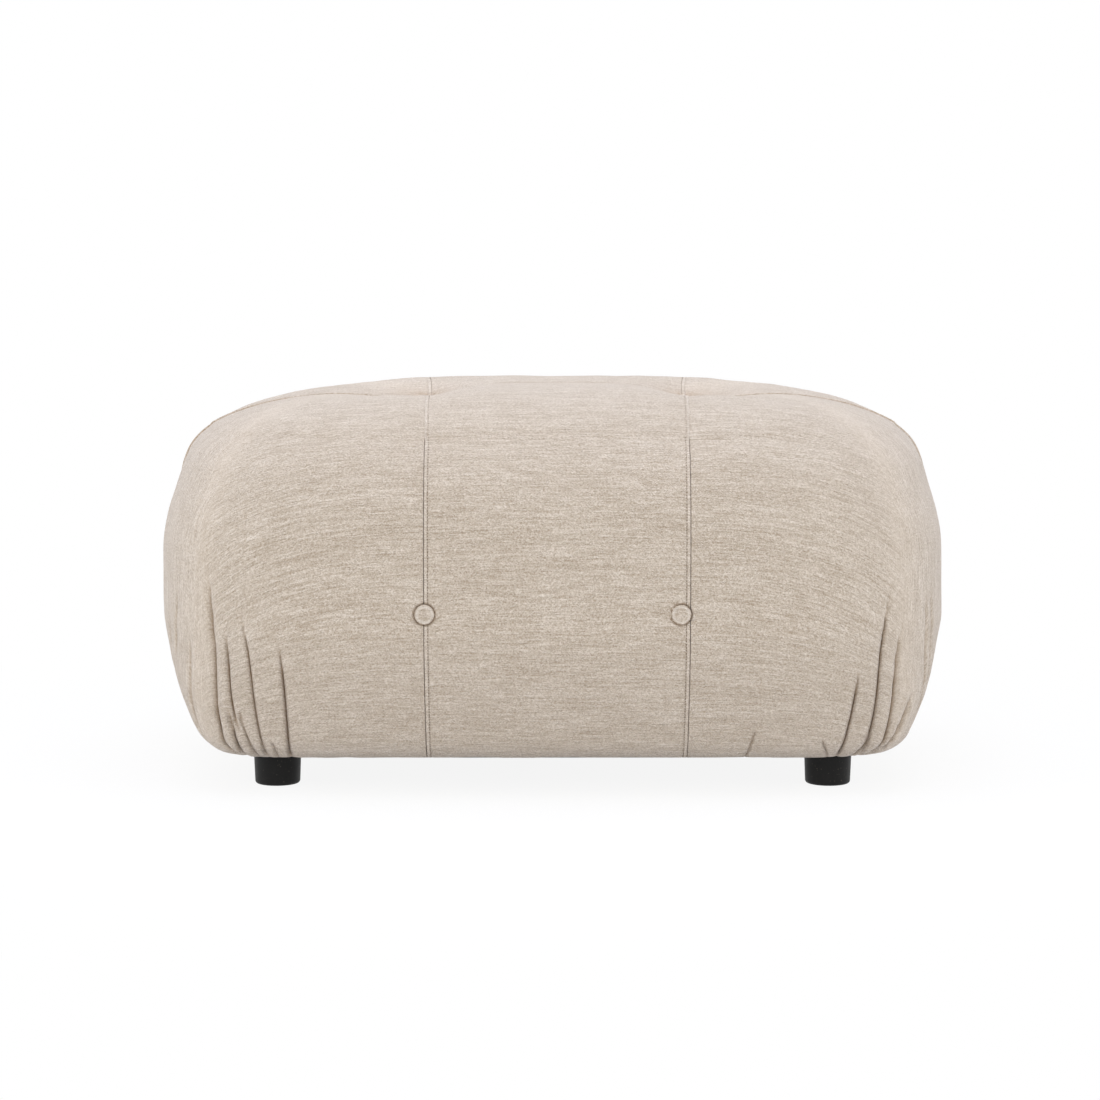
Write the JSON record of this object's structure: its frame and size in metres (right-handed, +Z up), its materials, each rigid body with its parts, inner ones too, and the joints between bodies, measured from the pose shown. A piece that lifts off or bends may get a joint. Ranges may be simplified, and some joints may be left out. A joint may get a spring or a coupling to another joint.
{
  "type": "ottoman",
  "caption": "Rectangular upholstered ottoman in oatmeal chenille, a pillow-edged block of six sewn panels with covered tufting buttons, on four low round black feet.",
  "frame": {"origin": "on the floor, under the centre of the ottoman", "axes": "+X along the width to the right seen from the front, +Y from front to back, +Z up"},
  "size_m": [0.887, 0.6, 0.4438],
  "materials": {
    "cover_cloth": "oatmeal chenille, matt, with slubs",
    "button_cloth": "the cover's cloth, drawn tight",
    "twine": "waxed, matt",
    "zinc_steel": "zinc plated",
    "dust_cloth": "black spunbond, matt",
    "foot_plastic": "satin black",
    "brass": "plain",
    "timber": "sawn pine",
    "board": "hardboard",
    "webbing": "woven, matt",
    "felt": "needled felt",
    "foam": "open-cell foam, matt"
  },
  "bodies": {
    "root": {"cover_front_left": "cover_cloth", "cover_front_centre": "cover_cloth", "cover_front_right": "cover_cloth", "cover_back_left": "cover_cloth", "cover_back_centre": "cover_cloth", "cover_back_right": "cover_cloth", "button_top_left": "button_cloth", "button_top_right": "button_cloth", "button_front_left": "button_cloth", "button_front_right": "button_cloth", "button_back_left": "button_cloth", "button_back_right": "button_cloth", "button_side_left": "button_cloth", "button_side_right": "button_cloth", "tufting_twines": "twine", "twine_washers": "zinc_steel", "hem_staples": "zinc_steel", "dust_staples": "zinc_steel", "foot_studs": "zinc_steel", "frame_screws": "zinc_steel", "dust_cover": "dust_cloth", "foot_front_left": "foot_plastic", "foot_front_right": "foot_plastic", "foot_back_left": "foot_plastic", "foot_back_right": "foot_plastic", "threaded_inserts": "brass", "block_front_left": "timber", "block_front_right": "timber", "block_back_left": "timber", "block_back_right": "timber", "post_front_left": "timber", "post_front_right": "timber", "post_back_left": "timber", "post_back_right": "timber", "rail_front_lower": "timber", "rail_back_lower": "timber", "rail_left_lower": "timber", "rail_right_lower": "timber", "rail_front_upper": "timber", "rail_back_upper": "timber", "rail_left_upper": "timber", "rail_right_upper": "timber", "stretcher": "timber", "board_front": "board", "board_back": "board", "board_left": "board", "board_right": "board", "webbing_long": "webbing", "webbing_cross": "webbing", "insulator_felt": "felt", "seat_foam": "foam", "pad_front": "foam", "pad_back": "foam", "pad_left": "foam", "pad_right": "foam"}
  },
  "joints": []
}
